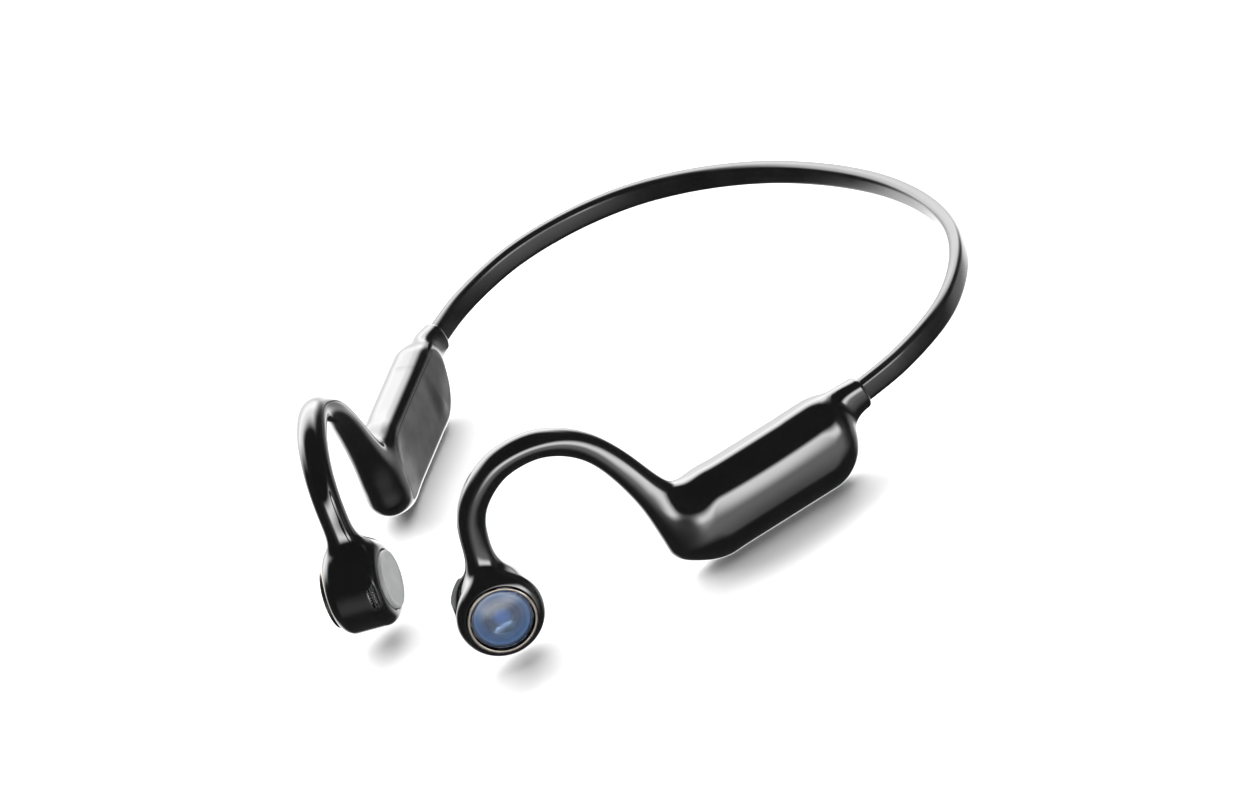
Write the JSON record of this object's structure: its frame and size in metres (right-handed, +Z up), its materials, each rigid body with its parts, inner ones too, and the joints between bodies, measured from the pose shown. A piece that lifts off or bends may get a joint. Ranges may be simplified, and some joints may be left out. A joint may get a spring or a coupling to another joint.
{
  "type": "bone conduction headphones",
  "caption": "Open-ear neckband headset: flexible band, rounded side pods, ear hooks and round speakers with a pressable domed cap.",
  "frame": {"origin": "middle of the bounding box in plan, on the surface that the pods' undersides rest on", "axes": "+Z up, the wearer looks along -Y, the wearer's left side is +X"},
  "size_m": [0.134, 0.1426, 0.0432],
  "materials": {
    "band_skin": "glossy black silicone skin over the band",
    "gloss_shell": "piano black, high gloss",
    "satin_cover": "satin dark grey, fine moulded grain",
    "silicone": "soft black silicone",
    "black_plastic": "black, fine texture",
    "skin_pad": "pale grey skin-contact pad, soft satin",
    "trim_metal": "warm silver, polished",
    "steel": "plain sheet steel",
    "spring_wire": "drawn memory-alloy wire",
    "copper": "enamelled copper",
    "blue_gem": "clear domed cap over a deep blue back",
    "cell_foil": "pouch foil",
    "board": "green solder mask",
    "light_pipe": "translucent white"
  },
  "bodies": {
    "neckband": {"neckband_sheath": "band_skin", "neckband_spring_wire": "spring_wire", "neckband_leads": "copper"},
    "left_arm": {"left_band_sheath": "band_skin", "left_band_wire": "spring_wire", "left_band_leads": "copper", "left_pod_shell": "gloss_shell", "left_pod_cover": "satin_cover", "left_cover_seal": "silicone", "left_ear_hook": "gloss_shell", "left_hook_wire": "spring_wire", "left_hook_leads": "copper", "left_speaker_shell": "gloss_shell", "left_vent_mesh": "steel", "left_contact_pad": "skin_pad", "left_vibration_plate": "steel", "left_voice_coil": "copper", "left_magnet": "steel", "left_yoke": "steel", "left_key_switch": "black_plastic", "left_trim_ring": "trim_metal", "battery": "cell_foil"},
    "right_arm": {"right_band_sheath": "band_skin", "right_band_wire": "spring_wire", "right_band_leads": "copper", "right_pod_shell": "gloss_shell", "right_pod_cover": "satin_cover", "right_cover_seal": "silicone", "right_ear_hook": "gloss_shell", "right_hook_wire": "spring_wire", "right_hook_leads": "copper", "right_speaker_shell": "gloss_shell", "right_vent_mesh": "steel", "right_contact_pad": "skin_pad", "right_vibration_plate": "steel", "right_voice_coil": "copper", "right_magnet": "steel", "right_yoke": "steel", "right_key_switch": "black_plastic", "right_trim_ring": "trim_metal", "main_board": "board", "radio_module": "steel", "usb_socket": "steel", "status_light": "light_pipe", "volume_up_switch": "steel", "volume_down_switch": "steel", "microphone": "steel"},
    "left_button": {"left_button_base": "black_plastic", "left_gem_lens": "blue_gem"},
    "right_button": {"right_button_base": "black_plastic", "right_gem_lens": "blue_gem"},
    "volume_up": {"volume_up_key": "black_plastic"},
    "volume_down": {"volume_down_key": "black_plastic"},
    "port_flap": {"port_flap": "silicone"}
  },
  "joints": [
    {"name": "left_arm_flex", "type": "hinge", "parent": "neckband", "child": "left_arm", "pos_m": [0.05936, 0.04777, 0.01315], "axis": [0, 0, 1], "range_deg": [-3, 28], "stiffness_Nm_per_rad": 0.6},
    {"name": "right_arm_flex", "type": "hinge", "parent": "neckband", "child": "right_arm", "pos_m": [-0.05936, 0.04777, 0.01315], "axis": [0, 0, -1], "range_deg": [-3, 28], "stiffness_Nm_per_rad": 0.6},
    {"name": "left_button_press", "type": "slide", "parent": "left_arm", "child": "left_button", "axis": [-0.8108, 0.5826, -0.0558], "range_m": [0, 0.0004], "stiffness_N_per_m": 1500},
    {"name": "right_button_press", "type": "slide", "parent": "right_arm", "child": "right_button", "axis": [0.8108, 0.5826, -0.0558], "range_m": [0, 0.0004], "stiffness_N_per_m": 1500},
    {"name": "volume_up_press", "type": "slide", "parent": "right_arm", "child": "volume_up", "axis": [0.1029, 0.0513, 0.9934], "range_m": [0, 0.00035], "stiffness_N_per_m": 1500},
    {"name": "volume_down_press", "type": "slide", "parent": "right_arm", "child": "volume_down", "axis": [0.1029, 0.0513, 0.9934], "range_m": [0, 0.00035], "stiffness_N_per_m": 1500},
    {"name": "port_flap_open", "type": "hinge", "parent": "right_arm", "child": "port_flap", "pos_m": [-0.06045, -0.00461, 0.00036], "axis": [0.889, 0.4432, -0.1149], "range_deg": [0, 110]}
  ]
}
